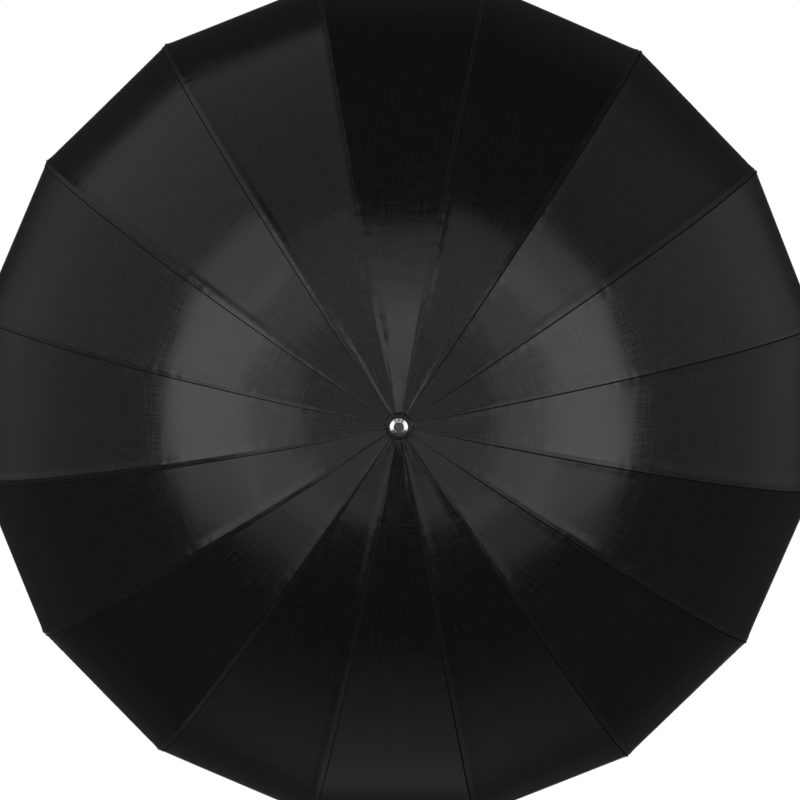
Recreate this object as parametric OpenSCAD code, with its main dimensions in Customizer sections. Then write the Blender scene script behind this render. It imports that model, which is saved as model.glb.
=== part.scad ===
// Folding studio umbrella reflector with sixteen fibreglass ribs and a deep lined canopy.
// The shaft lies along Y: the crown points to -Y, the free end of the shaft to +Y, and +Z is up.
// The origin is on the shaft's axis, halfway along the plain stretch that a stand's clamp grips.
// Shapes are drawn from the canopy's apex: x is the distance from the shaft's axis, y the depth
// along the shaft and z the distance from the plane of a rib or gore. All sizes are in mm.

/* [Canopy] */
// Diameter of the open canopy from corner to corner
canopy_d = 1300; // [1000:10:1600]
// Depth of the open canopy from its apex to its rim
canopy_depth = 510; // [440:10:580]
// Slope at which the cloth and the ribs leave the crown
apex_slope = 10; // [6:1:14]
// Distance from the shaft's axis to which the ribs' ferrules run straight
straight_r = 100; // [70:5:130]
// Thickness of the lined cloth
cloth_t = 0.6; // [0.4:0.1:1]
// Radius of the hole that the cloth has round the shaft
cloth_hole_r = 10; // [8:0.5:12]
// Gap between neighbouring gores along a seam
seam_gap = 0.3; // [0.2:0.05:0.6]
// Gap between the cloth and what it lies on
cloth_clear = 0.3; // [0.2:0.05:0.5]

/* [Ribs] */
// Diameter of a fibreglass rib
rib_d = 4; // [3.6:0.2:5]
// Diameter of the rib's end inside its ferrule
spigot_d = 2.6; // [2:0.2:3]
// Length of the rib's end inside its ferrule
spigot_l = 24; // [16:1:32]
// Distance from the hinge wire to the ferrule's near end
ferrule_reach = 7; // [6:0.5:10]
// Polar angle on the dome at which the stretcher joins the rib
clip_polar = 38; // [32:1:42]
// Length of the clip along the rib
clip_l = 14; // [10:1:20]
// Wall of the clip round the rib
clip_wall = 1.2; // [0.8:0.1:1.6]
// Height above the rib's centre line at which the clip's lips end
clip_lip = 1; // [0.6:0.1:1.2]
// Diameter of the ball nib on the rib's tip
nib_d = 6; // [5.4:0.2:8]
// Length of the nib beyond the cloth's edge
nib_l = 8; // [7:0.5:12]
// Depth of the rib's tip in the nib
nib_socket = 4; // [2:0.5:5]

/* [Linkage] */
// Radius of the two hinge wires round the shaft's axis
hinge_r = 14; // [13:0.5:18]
// Diameter of a hinge wire
wire_d = 1.6; // [1.2:0.1:2]
// Diameter of the eyes that run on the wires and rivets
eye_d = 5.2; // [4.6:0.2:6]
// Thickness of an eye
eye_t = 2.4; // [2:0.1:2.6]
// Height of the tongue behind an eye
tongue_h = 3.2; // [2.6:0.2:4]
// Diameter of a stretcher's rivet
rivet_d = 1.8; // [1.4:0.1:2.2]
// Diameter of the rivet's heads
rivet_head_d = 3.8; // [3:0.1:4.2]
// Thickness of the rivet's heads
rivet_head_t = 0.7; // [0.5:0.1:1]
// Height of the stretcher's steel channel
channel_h = 4.4; // [3.6:0.2:5.4]
// Wall of the stretcher's channel
channel_wall = 0.6; // [0.5:0.1:0.8]
// Length of the pinched stretch behind the stretcher's tongue
crimp_l = 9; // [6:0.5:14]
// Distance from the runner's wire to the stretcher's channel
channel_reach = 7; // [6:0.5:10]
// Angle through which the ribs close
fold_angle = 48; // [30:1:48]
// Radial clearance of an eye on its curved wire
wire_clear = 0.12; // [0.1:0.01:0.2]
// Radial clearance of a rivet in the stretcher's fork
pivot_clear = 0.06; // [0.03:0.01:0.1]
// Radial clearance of parts that are fixed on each other
fit_clear = 0.03; // [0.02:0.01:0.06]
// Side clearance of an eye in its slot or fork
side_clear = 0.2; // [0.15:0.05:0.3]
// Gap between the clip and the stretcher's swinging fork
fork_clear = 0.8; // [0.5:0.1:1.5]

/* [Crown and runner] */
// Material outside the hinge wire at a hub's edge
hub_lip = 1.8; // [1.2:0.1:2.5]
// Thickness of the crown's roof over its slots
crown_roof = 1.6; // [1.2:0.1:2.5]
// Depth of the crown's slots below its hinge wire
crown_skirt = 5; // [4:0.5:8]
// Radius of the crown's neck
crown_neck_r = 7.5; // [6.5:0.5:9]
// Length of the crown's neck
crown_neck_l = 11; // [8:0.5:16]
// Diameter of the pin that fixes the crown on the shaft
crown_pin_d = 2.5; // [2:0.25:3]
// Height of the runner's teeth above its hinge wire
runner_teeth = 4; // [3.5:0.5:7]
// Thickness of the floor under the runner's slots
runner_floor = 2.4; // [1.8:0.2:4]
// Radius of the runner's sleeve
runner_sleeve_r = 6.6; // [6:0.2:8]
// Length of the runner's sleeve
runner_sleeve_l = 34; // [24:1:50]
// Radial running clearance of the runner on the shaft
runner_clear = 0.1; // [0.05:0.01:0.2]
// Radius of the runner's grip
grip_r = 9.6; // [8.8:0.2:12]
// Radius of the grip's thumb flange
grip_flange_r = 13; // [12.2:0.2:16]
// Thickness of the thumb flange
grip_flange_t = 3; // [2:0.5:5]
// Radius of the grooves round the grip
grip_groove_r = 1; // [0.6:0.1:1.4]
// Distance between the grooves round the grip
grip_pitch = 4; // [3.2:0.2:6]

/* [Shaft and tip] */
// Outside diameter of the shaft
shaft_d = 8; // [7:0.5:10]
// Wall of the shaft's tube
shaft_wall = 1; // [0.8:0.1:1.4]
// Length of the plain stretch for a stand's clamp
clamp_l = 100; // [60:5:300]
// Chamfer at the shaft's free end
shaft_chamfer = 0.6; // [0.3:0.1:0.8]
// Depth of the grooves that hold the stop rings
groove_depth = 0.4; // [0.3:0.05:0.6]
// Thickness of a stop ring
ring_t = 1; // [0.6:0.1:1.6]
// Outside radius of a stop ring
ring_r = 6.4; // [5.8:0.1:7]
// Gap between the runner and what stops it
stop_gap = 0.3; // [0.2:0.05:0.5]
// Diameter of the chromed tip
tip_d = 25.5; // [22:0.5:30]
// Height of the chromed tip
tip_h = 15; // [13:0.5:30]
// Diameter of the flat on the tip's front
tip_flat_d = 14; // [10:0.5:16]
// Slope of the shoulder round the tip's flat
tip_slope = 30; // [15:1:40]
// Rounding of the tip's two edges
tip_round = 1.2; // [0.6:0.1:2]
// Depth of the shaft's end in the tip
tip_socket = 8; // [5:0.5:8]
// Radius of the washer that holds the cloth on the crown
washer_r = 16.5; // [15:0.5:20]
// Thickness of the washer
washer_t = 1.2; // [0.8:0.1:2]
// Length of the end cap's plug in the shaft
plug_l = 12; // [8:1:20]
// Length of the end cap outside the shaft
end_cap_l = 5; // [4:0.5:10]
// How far the end cap stays inside the shaft's outline
end_cap_inset = 0.25; // [0.2:0.05:0.4]

/* [Catch] */
// Width of the catch's steel leaf
catch_w = 2; // [1.6:0.1:2.4]
// Thickness of the catch's leaf
catch_t = 0.6; // [0.5:0.1:0.8]
// Distance from the catch's nose to its pivot
catch_l = 34; // [28:1:44]
// How far the nose stands out of the shaft
catch_nose = 3; // [2:0.2:3.4]
// Length of the nose's flat end
catch_flat = 2.5; // [1.5:0.5:4]
// Length of the nose's ramp along the shaft
catch_ramp = 15; // [10:1:18]
// Diameter of the catch's pivot
catch_pin_d = 1.6; // [1.2:0.1:2]
// Distance of the leaf's middle from the shaft's axis
catch_leaf_x = 1; // [0.6:0.1:1.4]

/* [Hidden] */
$fn = 48;
rib_count = 16;
gore_steps = 28;
pitch = 360 / rib_count;
margin = 1;
degrees = 180 / PI;

// Dome: the cloth's corner lines and the ribs leave the apex straight and then bend about one centre
straight_l = straight_r / cos(apex_slope);
bend = [straight_r, straight_r * tan(apex_slope)];
chord = [canopy_d / 2, canopy_depth] - bend;
rim_polar = 2 * atan2(chord.y, chord.x) - apex_slope;
dome_r = norm(chord) / (2 * sin((rim_polar - apex_slope) / 2));
dome_centre = bend + dome_r * [-sin(apex_slope), cos(apex_slope)];
rib_r = rib_d / 2;
rib_drop = cloth_t / 2 + cloth_clear + rib_r;
rib_arc_r = dome_r - rib_drop;
half_gore = pitch / 2;

function straight_point(drop, run) = [run * cos(apex_slope) - drop * sin(apex_slope),
                                      run * sin(apex_slope) + drop * cos(apex_slope)];
function arc_point(r, polar) = dome_centre + r * [sin(polar), -cos(polar)];
function arc_angle(length) = length / rib_arc_r * degrees;
function dish(r) = r * tan(apex_slope);
function rib_clock(k) = (k - 0.5) * pitch;
function gore_clock(k) = (k - 1) * pitch;
function numbered(name, k) = str(name, k < 10 ? "_0" : "_", k);

// Crown: its top carries the cloth, and its hinge wire lies under the roof
shaft_r = shaft_d / 2;
eye_r = eye_d / 2;
slot_r = eye_r + wire_clear + side_clear;
slot_w = eye_t + 2 * side_clear;
slot_floor_r = hinge_r - slot_r;
groove_r = wire_d / 2 + fit_clear;
eye_bore_r = wire_d / 2 + wire_clear;
hub_r = hinge_r + wire_d / 2 + hub_lip;
crown_top = dish(hub_r) + cloth_t / 2 + cloth_clear;
crown_wire_y = crown_top + crown_roof + slot_r;
crown_bottom = crown_wire_y + crown_skirt;
crown_end = crown_bottom + crown_neck_l;
crown_pin_y = crown_bottom + crown_neck_l / 2;

// Linkage: rib and stretcher are equal sides of a triangle, so the runner keeps level as it slides
clip_drop = rib_r + clip_wall + fork_clear + max(channel_h, eye_d) / 2;
crown_eye = [hinge_r, crown_wire_y];
clip_rivet = arc_point(rib_arc_r - clip_drop, clip_polar);
link = clip_rivet - crown_eye;
link_l = norm(link);
link_angle = atan2(link.x, link.y);
runner_wire_y = crown_wire_y + 2 * link.y;
runner_travel = 2 * link_l * (cos(link_angle - fold_angle) - cos(link_angle));
channel_w = slot_w + 2 * channel_wall;

// Rib: ferrule from the hinge outwards, nib just beyond the cloth's edge
ferrule_run = (hinge_r + ferrule_reach) / cos(apex_slope);
nib_polar = rim_polar + arc_angle(cloth_clear);
rod_end_polar = nib_polar + arc_angle(nib_socket);

// Runner, its stops and the catch
runner_top = runner_wire_y - runner_teeth;
runner_hub_end = runner_wire_y + slot_r + runner_floor;
runner_end = runner_hub_end + runner_sleeve_l;
bore_r = shaft_r + runner_clear;
open_ring_y = runner_top - stop_gap - ring_t;
closed_ring_y = runner_end + runner_travel + stop_gap;
catch_y = runner_end + stop_gap;
slot_lead = stop_gap + side_clear;
catch_pivot_y = catch_y + catch_l;

// Shaft and tip, whose washer lies on the edge of the cloth's hole
hole_run = cloth_hole_r / cos(apex_slope);
washer_front = straight_point(-cloth_t / 2, hole_run).y - cloth_clear - washer_t;
shaft_front = washer_front - tip_socket;
clamp_start = closed_ring_y + ring_t + fit_clear;
clamp_middle = clamp_start + clamp_l / 2;
shaft_end = clamp_start + clamp_l + shaft_chamfer;
tube_r = shaft_r - shaft_wall;

// Moves what is drawn from the apex into the part's frame
module from_apex() {
    translate([0, -clamp_middle, 0]) children();
}

// Turns what is drawn in the XY plane to a clock angle round the shaft, seen from the crown
module at_clock(angle) {
    rotate([0, angle - 90, 0]) children();
}

// Revolves a profile of radius and depth round the shaft's axis
module turned() {
    rotate([-90, 0, 0]) rotate_extrude() children();
}

// Ring profile between two radii and two depths
module band(r_in, r_out, y_from, y_to) {
    translate([r_in, y_from]) square([r_out - r_in, y_to - y_from]);
}

// Round bar of radius r on the rib's straight line between two distances along it
module straight_bar(r, run_from, run_to) {
    p = straight_point(rib_drop, run_from);
    translate([p.x, p.y, 0]) rotate([0, 0, apex_slope]) along_x(r, run_to - run_from);
}

// Round bar of radius r that follows the rib's arc between two polar angles
module arc_bar(r, polar_from, polar_to) {
    translate([dome_centre.x, dome_centre.y, 0]) rotate([0, 0, polar_from - 90])
        rotate_extrude(angle = polar_to - polar_from, $fn = 180)
            translate([rib_arc_r, 0]) circle(r = r);
}

// Puts a piece on the rib's arc, with x along the rib and y towards the shaft
module on_rib(polar) {
    p = arc_point(rib_arc_r, polar);
    translate([p.x, p.y, 0]) rotate([0, 0, polar]) children();
}

// Round bar along x from the origin
module along_x(r, l) {
    rotate([0, 90, 0]) cylinder(r = r, h = l);
}

// Slots of a hub that take the eyes on its hinge wire
module hub_slots(y_from, y_to) {
    for (k = [1:rib_count])
        at_clock(rib_clock(k)) translate([slot_floor_r, y_from, -slot_w / 2])
            cube([hub_r, y_to - y_from, slot_w]);
}

// Groove in a hub's rim that takes the hinge wire
module wire_groove(y) {
    band(hinge_r - groove_r, hub_r + margin, y - groove_r, y + groove_r);
}

module hinge_wire(y) {
    turned() translate([hinge_r, y]) circle(d = wire_d);
}

module shaft() {
    color("silver") from_apex() difference() {
        turned() difference() {
            union() {
                band(tube_r, shaft_r, shaft_front, shaft_end - shaft_chamfer);
                band(tube_r, shaft_r - shaft_chamfer, shaft_front, shaft_end);
            }
            for (y = [open_ring_y, closed_ring_y])
                band(shaft_r - groove_depth, shaft_r + margin, y - fit_clear, y + ring_t + fit_clear);
        }
        at_clock(0) {
            translate([0, catch_y - slot_lead, -catch_w / 2 - side_clear])
                cube([shaft_d, slot_lead + catch_flat + catch_ramp + side_clear, catch_w + 2 * side_clear]);
            translate([catch_leaf_x, catch_pivot_y, 0])
                cylinder(d = catch_pin_d + 2 * pivot_clear, h = 2 * shaft_d, center = true);
            translate([0, crown_pin_y, 0])
                cylinder(d = crown_pin_d + 2 * fit_clear, h = 2 * shaft_d, center = true);
        }
    }
}

module shaft_end_cap() {
    color("black") from_apex() union() {
        turned() {
            band(0, tube_r - fit_clear, shaft_end - plug_l, shaft_end + margin);
            band(0, shaft_r - end_cap_inset, shaft_end, shaft_end + end_cap_l - shaft_r / 2);
        }
        translate([0, shaft_end + end_cap_l - shaft_r / 2, 0]) intersection() {
            turned() band(0, shaft_r - end_cap_inset, -margin, shaft_r / 2);
            translate([0, -shaft_r, 0]) sphere(r = shaft_r * 1.5);
        }
    }
}

// Chromed cap with a flat front and a sloping shoulder, rounded where they meet and at the wall
module tip_cap() {
    flat_edge = [tip_flat_d / 2, tip_round];
    wall_x = tip_d / 2 - tip_round;
    wall_edge = [wall_x, tip_round + (wall_x - flat_edge.x) * tan(tip_slope)];
    lift = tip_round * [sin(tip_slope), -cos(tip_slope)];
    color("silver") from_apex() turned() difference() {
        translate([0, washer_front - tip_h]) union() {
            band(0, flat_edge.x, 0, tip_h);
            band(0, tip_d / 2, wall_edge.y, tip_h);
            polygon([[0, tip_h], [0, tip_round], flat_edge, flat_edge + lift, wall_edge + lift, wall_edge,
                     [wall_x, tip_h]]);
            translate(flat_edge) circle(r = tip_round);
            translate(wall_edge) circle(r = tip_round);
        }
        band(-margin, shaft_r + fit_clear, washer_front - tip_socket - fit_clear, washer_front + margin);
    }
}

module canopy_washer() {
    color("black") from_apex() turned() {
        band(shaft_r + fit_clear, washer_r - washer_t / 2, washer_front, washer_front + washer_t);
        translate([washer_r - washer_t / 2, washer_front + washer_t / 2]) circle(d = washer_t);
    }
}

module crown() {
    color("dimgray") from_apex() difference() {
        turned() difference() {
            union() {
                band(shaft_r + fit_clear, hub_r, crown_top, crown_bottom);
                band(shaft_r + fit_clear, crown_neck_r, crown_top, crown_end);
            }
            wire_groove(crown_wire_y);
        }
        hub_slots(crown_wire_y - slot_r, crown_bottom + margin);
        at_clock(0) translate([0, crown_pin_y, 0])
            cylinder(d = crown_pin_d + 2 * fit_clear, h = 3 * crown_neck_r, center = true);
    }
}

module crown_wire() {
    color("gainsboro") from_apex() hinge_wire(crown_wire_y);
}

module crown_pin() {
    color("gainsboro") from_apex() at_clock(0) translate([0, crown_pin_y, 0])
        cylinder(d = crown_pin_d, h = 2 * crown_neck_r, center = true);
}

// Two open spring rings in the shaft's grooves: one stops the runner open, the other closed
module stop_rings() {
    color("gainsboro") from_apex() for (y = [open_ring_y, closed_ring_y]) difference() {
        turned() band(shaft_r - groove_depth + fit_clear, ring_r, y, y + ring_t);
        at_clock(180) translate([0, y - margin, -shaft_r / 2])
            cube([2 * ring_r, ring_t + 2 * margin, shaft_r]);
    }
}

// Spring leaf in the shaft: its nose stands out behind the open runner and presses in to free it
module catch() {
    nose_x = shaft_r + catch_nose;
    leaf_in = catch_leaf_x - catch_t / 2;
    leaf_out = catch_leaf_x + catch_t / 2;
    color("gainsboro") from_apex() at_clock(0) union() {
        translate([0, 0, -catch_w / 2]) linear_extrude(catch_w) polygon([
            [leaf_in, catch_y],
            [nose_x, catch_y],
            [nose_x, catch_y + catch_flat],
            [leaf_out, catch_y + catch_flat + catch_ramp],
            [leaf_out, catch_pivot_y],
            [leaf_in, catch_pivot_y]]);
        translate([catch_leaf_x, catch_pivot_y, 0]) {
            cylinder(d = catch_pin_d + catch_t, h = catch_w, center = true);
            cylinder(d = catch_pin_d, h = 2 * (shaft_r - shaft_wall / 2), center = true);
        }
    }
}

module runner() {
    color("dimgray") from_apex() difference() {
        turned() difference() {
            union() {
                band(bore_r, hub_r, runner_top, runner_hub_end);
                band(bore_r, runner_sleeve_r, runner_top, runner_end);
            }
            wire_groove(runner_wire_y);
        }
        hub_slots(runner_top - margin, runner_wire_y + slot_r);
    }
}

module runner_wire() {
    color("gainsboro") from_apex() hinge_wire(runner_wire_y);
}

// Moulded grip on the runner's sleeve, grooved for the fingers and flanged for the thumb
module runner_grip() {
    grooved_l = runner_sleeve_l - grip_flange_t;
    grooves = floor((grooved_l - grip_pitch) / grip_pitch);
    first = runner_hub_end + (grooved_l - (grooves - 1) * grip_pitch) / 2;
    color("black") from_apex() turned() difference() {
        union() {
            band(runner_sleeve_r + fit_clear, grip_r, runner_hub_end, runner_end);
            band(runner_sleeve_r + fit_clear, grip_flange_r - grip_flange_t / 2,
                 runner_end - grip_flange_t, runner_end);
            translate([grip_flange_r - grip_flange_t / 2, runner_end - grip_flange_t / 2])
                circle(d = grip_flange_t);
        }
        for (i = [0:grooves - 1])
            translate([grip_r, first + i * grip_pitch]) circle(r = grip_groove_r);
    }
}

module rib_rod() {
    union() {
        arc_bar(rib_r, apex_slope + arc_angle(fit_clear), rod_end_polar);
        straight_bar(spigot_d / 2, straight_l - spigot_l, straight_l + margin);
    }
}

// Steel ferrule on the rib's root, with a flat tongue and the eye on the crown's wire
module rib_ferrule() {
    root = straight_point(rib_drop, ferrule_run + rib_r);
    reach = root - crown_eye;
    difference() {
        union() {
            straight_bar(rib_r, ferrule_run, straight_l);
            translate([hinge_r, crown_wire_y, 0]) {
                cylinder(r = eye_r, h = eye_t, center = true);
                rotate([0, 0, atan2(reach.y, reach.x)]) translate([0, -tongue_h / 2, -eye_t / 2])
                    cube([norm(reach), tongue_h, eye_t]);
            }
        }
        translate([hinge_r, crown_wire_y, 0]) cylinder(r = eye_bore_r, h = 2 * eye_t, center = true);
        straight_bar(spigot_d / 2 + fit_clear, straight_l - spigot_l - fit_clear, straight_l + margin);
    }
}

// Steel clip crimped round the rib, open under the cloth, with an ear for the stretcher's rivet
module rib_clip() {
    outer_r = rib_r + clip_wall;
    on_rib(clip_polar) difference() {
        union() {
            difference() {
                translate([-clip_l / 2, 0, 0]) along_x(outer_r, clip_l);
                translate([-clip_l, -2 * outer_r, -outer_r])
                    cube([2 * clip_l, 2 * outer_r - clip_lip, 2 * outer_r]);
            }
            translate([-eye_r, rib_r, -eye_t / 2]) cube([eye_d, clip_drop - rib_r, eye_t]);
            translate([0, clip_drop, 0]) cylinder(r = eye_r, h = eye_t, center = true);
        }
        translate([-clip_l, 0, 0]) along_x(rib_r + 2 * fit_clear, 2 * clip_l);
        translate([0, clip_drop, 0]) cylinder(d = rivet_d + 2 * fit_clear, h = 2 * eye_t, center = true);
    }
}

module rib_rivet() {
    head_z = channel_w / 2 + pivot_clear;
    on_rib(clip_polar) translate([0, clip_drop, 0]) union() {
        cylinder(d = rivet_d, h = 2 * head_z + rivet_head_t, center = true);
        for (side = [-1, 1])
            translate([0, 0, side * (head_z + rivet_head_t / 2)])
                cylinder(d = rivet_head_d, h = rivet_head_t, center = true);
    }
}

// Moulded nib on the rib's tip, which keeps the cloth's corner from slipping off
module rib_nib() {
    nib_r = nib_d / 2;
    on_rib(nib_polar) difference() {
        union() {
            along_x(nib_r, nib_l - nib_r);
            translate([nib_l - nib_r, 0, 0]) sphere(r = nib_r);
        }
        translate([-margin, 0, 0]) along_x(rib_r + fit_clear, margin + nib_socket + fit_clear);
    }
}

module rib(k) {
    color("black") from_apex() at_clock(rib_clock(k)) {
        rib_rod();
        rib_ferrule();
        rib_clip();
        rib_rivet();
        rib_nib();
    }
}

// Steel channel from the runner's wire to the rib's clip: an eye at one end, a fork at the other
module stretcher(k) {
    hollow_from = channel_reach + crimp_l;
    fork_from = link_l - eye_r - fork_clear;
    color("darkslategray") from_apex() at_clock(rib_clock(k))
        translate([hinge_r, runner_wire_y, 0]) rotate([0, 0, link_angle - 90]) difference() {
            union() {
                cylinder(r = eye_r, h = eye_t, center = true);
                translate([0, -tongue_h / 2, -eye_t / 2]) cube([channel_reach + margin, tongue_h, eye_t]);
                translate([channel_reach, -channel_h / 2, -channel_w / 2])
                    cube([link_l - channel_reach, channel_h, channel_w]);
                translate([link_l, 0, 0]) cylinder(d = channel_h, h = channel_w, center = true);
            }
            translate([hollow_from, -channel_h, -slot_w / 2])
                cube([link_l, 1.5 * channel_h - channel_wall, slot_w]);
            translate([fork_from, -channel_h, -slot_w / 2]) cube([link_l, 2 * channel_h, slot_w]);
            cylinder(r = eye_bore_r, h = 2 * channel_w, center = true);
            translate([link_l, 0, 0])
                cylinder(d = rivet_d + 2 * pivot_clear, h = 2 * channel_w, center = true);
        }
}

// One cloth panel, flat across from rib to rib and bent along them, with a straight rim
module gore(k) {
    function bent_point(drop, i) =
        arc_point(dome_r - drop, apex_slope + (rim_polar - apex_slope) * i / gore_steps);
    out = -cloth_t / 2;
    in = cloth_t / 2;
    corner_line = concat(
        [straight_point(out, hole_run)], [for (i = [0:gore_steps]) bent_point(out, i)],
        [for (i = [gore_steps:-1:0]) bent_point(in, i)], [straight_point(in, hole_run)]);
    outline = [for (p = corner_line) [p.x * cos(half_gore), p.y]];
    apex_x = seam_gap / 2 / sin(half_gore);
    reach = canopy_d;
    color("black") from_apex() at_clock(gore_clock(k)) intersection() {
        translate([0, 0, -reach / 2]) linear_extrude(reach) polygon(outline);
        translate([apex_x, canopy_depth + reach / 2, 0]) rotate([90, 0, 0]) linear_extrude(2 * reach)
            polygon([[0, 0], [reach, -reach * tan(half_gore)], [reach, reach * tan(half_gore)]]);
    }
}

shaft();
shaft_end_cap();
tip_cap();
canopy_washer();
crown();
crown_wire();
crown_pin();
stop_rings();
catch();
runner();
runner_wire();
runner_grip();
for (k = [1:rib_count]) {
    rib(k);
    stretcher(k);
    gore(k);
}
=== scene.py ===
# %% [markdown]
# # A folding studio umbrella, dressed over its fixed frame
# The mechanism of this umbrella (shaft, hubs, ribs, stretchers) comes as a finished model with moving
# bodies. This lesson adds what sewing and finishing add on the real one: sixteen cloth panels with lapped
# seams, hems and stitches, the gathered patch under the bright tip, and a real finish on every surface.
# All sizes are in metres, and the shaft lies along Y with the crown towards -Y.

# %% Load the frame and keep its box
import math

import bpy
import numpy as np
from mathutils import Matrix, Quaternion, Vector

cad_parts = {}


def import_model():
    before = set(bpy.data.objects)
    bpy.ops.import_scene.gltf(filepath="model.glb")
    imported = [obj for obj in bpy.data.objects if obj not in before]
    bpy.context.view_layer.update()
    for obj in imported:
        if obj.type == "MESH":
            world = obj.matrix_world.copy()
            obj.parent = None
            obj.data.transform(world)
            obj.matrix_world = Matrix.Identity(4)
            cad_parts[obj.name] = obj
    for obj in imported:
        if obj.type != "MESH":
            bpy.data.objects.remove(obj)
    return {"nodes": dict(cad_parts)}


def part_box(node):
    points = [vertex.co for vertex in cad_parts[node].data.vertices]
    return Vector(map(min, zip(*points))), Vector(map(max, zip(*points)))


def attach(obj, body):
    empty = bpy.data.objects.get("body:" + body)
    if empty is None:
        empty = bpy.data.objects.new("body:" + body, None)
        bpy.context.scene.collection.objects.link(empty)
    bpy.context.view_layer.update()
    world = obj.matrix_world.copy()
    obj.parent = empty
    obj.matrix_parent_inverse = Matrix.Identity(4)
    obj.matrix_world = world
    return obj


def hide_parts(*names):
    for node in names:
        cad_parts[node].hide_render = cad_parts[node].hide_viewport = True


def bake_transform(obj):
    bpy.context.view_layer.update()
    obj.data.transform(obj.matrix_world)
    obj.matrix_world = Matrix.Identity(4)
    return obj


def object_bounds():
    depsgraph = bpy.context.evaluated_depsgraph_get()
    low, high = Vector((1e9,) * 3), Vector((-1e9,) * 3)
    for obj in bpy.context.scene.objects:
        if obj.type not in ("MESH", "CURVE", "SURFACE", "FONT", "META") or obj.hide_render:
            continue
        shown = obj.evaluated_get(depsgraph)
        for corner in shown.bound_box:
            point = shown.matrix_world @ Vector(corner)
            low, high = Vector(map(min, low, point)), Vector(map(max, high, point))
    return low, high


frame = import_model()
cad_low, cad_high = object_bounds()
nodes = frame["nodes"]
mm = 0.001

# %% [markdown]
# The canopy is a dome with sixteen flat sides. Its corner lines, where the ribs lie, leave the tip straight
# at a slope of ten degrees and bend from 100 mm on along an arc. The first panel stands upright on the
# shaft, so its box gives the rim's distance from the shaft and the depth. The arc follows from them, because
# a chord's slope is the mean of the slopes at its two ends.

# %% Measure the dome
rib_count = 16
pitch = 2 * math.pi / rib_count
half_gore = pitch / 2
apex_slope = math.radians(10)
straight_r = 100 * mm
gore_low, gore_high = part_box("gore_01")
rim_r = gore_high.z / math.cos(half_gore)
hole_r = gore_low.z / math.cos(half_gore)
apex_y = gore_low.y - hole_r * math.tan(apex_slope)
depth = gore_high.y - apex_y
straight_deep = straight_r * math.tan(apex_slope)
arc_out, arc_deep = rim_r - straight_r, depth - straight_deep
rim_slope = 2 * math.atan2(arc_deep, arc_out) - apex_slope
dome_r = math.hypot(arc_deep, arc_out) / (2 * math.sin((rim_slope - apex_slope) / 2))
centre_out = straight_r - dome_r * math.sin(apex_slope)
centre_deep = straight_deep + dome_r * math.cos(apex_slope)
hole_run = hole_r / math.cos(apex_slope)
straight_run = straight_r / math.cos(apex_slope)
rim_run = straight_run + dome_r * (rim_slope - apex_slope)
print(f"arc radius {dome_r:.4f}, rim radius {rim_r:.4f}, "
      f"slope at the rim {math.degrees(rim_slope):.1f} degrees")

# %% [markdown]
# The camera stands in front of the crown, a little above the shaft's axis, and rolls by less than a degree.
# A long lens keeps the rim a regular polygon. The lens follows from the rim's size in the picture: the same
# ratio holds between focal length and picture as between distance and object. A small lens shift puts the
# rim's centre on its pixel without turning the camera.

# %% Camera
picture_px = 800
rim_px = 424.8
rim_centre_px = (398.2, 402.9)
camera_distance = 5.0
camera_elevation = math.radians(3.66)
camera_azimuth = math.radians(-0.15)
camera_roll = math.radians(0.86)
rim_centre = Vector((0, apex_y + depth, 0))
camera_data = bpy.data.cameras.new("front_camera")
camera_data.sensor_width = 36
camera_data.lens = camera_data.sensor_width * rim_px * camera_distance / rim_r / picture_px
camera_data.shift_x = (picture_px / 2 - rim_centre_px[0]) / picture_px
camera_data.shift_y = (rim_centre_px[1] - picture_px / 2) / picture_px
camera = bpy.data.objects.new("front_camera", camera_data)
bpy.context.scene.collection.objects.link(camera)
backwards = Vector((math.sin(camera_azimuth) * math.cos(camera_elevation),
                    -math.cos(camera_azimuth) * math.cos(camera_elevation), math.sin(camera_elevation)))
camera.location = rim_centre + camera_distance * backwards
camera.rotation_mode = "QUATERNION"
camera.rotation_quaternion = (-backwards).to_track_quat("-Z", "Y") @ Quaternion((0, 0, 1), camera_roll)
bpy.context.scene.camera = camera
bpy.context.scene.view_settings.view_transform = "Standard"
print(f"lens {camera_data.lens:.1f} mm at {camera_distance} m")

# %% [markdown]
# Small helpers serve every finish. The first turns a colour as a painter writes it (sRGB hex) into the
# linear light that Blender calculates with. The second adds one shader node, sets its values and draws the
# links that end on it. The others name the few nodes that come back in every material, so that a finish reads
# as a short list: what varies, how it shades, how it shines and how deep its relief is.

# %% Helpers for colours and nodes
def linear(hex_code):
    """sRGB to linear light: each channel c becomes c/12.92 below 0.04045, else ((c + 0.055)/1.055)^2.4."""
    c = np.array([int(hex_code[i:i + 2], 16) for i in (1, 3, 5)]) / 255
    c = np.where(c <= 0.04045, c / 12.92, ((c + 0.055) / 1.055) ** 2.4)
    return (*c.tolist(), 1.0)


def add_node(tree, kind, inputs=None, **settings):
    """Adds a node. A value in inputs that is a socket is linked, and any other value is set."""
    node = tree.nodes.new(kind)
    for name, value in settings.items():
        setattr(node, name, value)
    for name, value in (inputs or {}).items():
        if isinstance(value, bpy.types.NodeSocket):
            tree.links.new(value, node.inputs[name])
        else:
            node.inputs[name].default_value = value
    return node


def new_material(name, **constants):
    """A material with its shader linked to its output. Constants are set on the shader's own sockets."""
    material = bpy.data.materials.new(name)
    material.use_nodes = True
    material.node_tree.nodes.clear()
    shader = add_node(material.node_tree, "ShaderNodeBsdfPrincipled",
                      {key.replace("_", " "): value for key, value in constants.items()})
    add_node(material.node_tree, "ShaderNodeOutputMaterial", {"Surface": shader.outputs["BSDF"]})
    return material, material.node_tree, shader


def feed(tree, shader, **sources):
    """Links each source to the shader's socket of that name."""
    for key, source in sources.items():
        tree.links.new(source, shader.inputs[key.replace("_", " ")])


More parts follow.
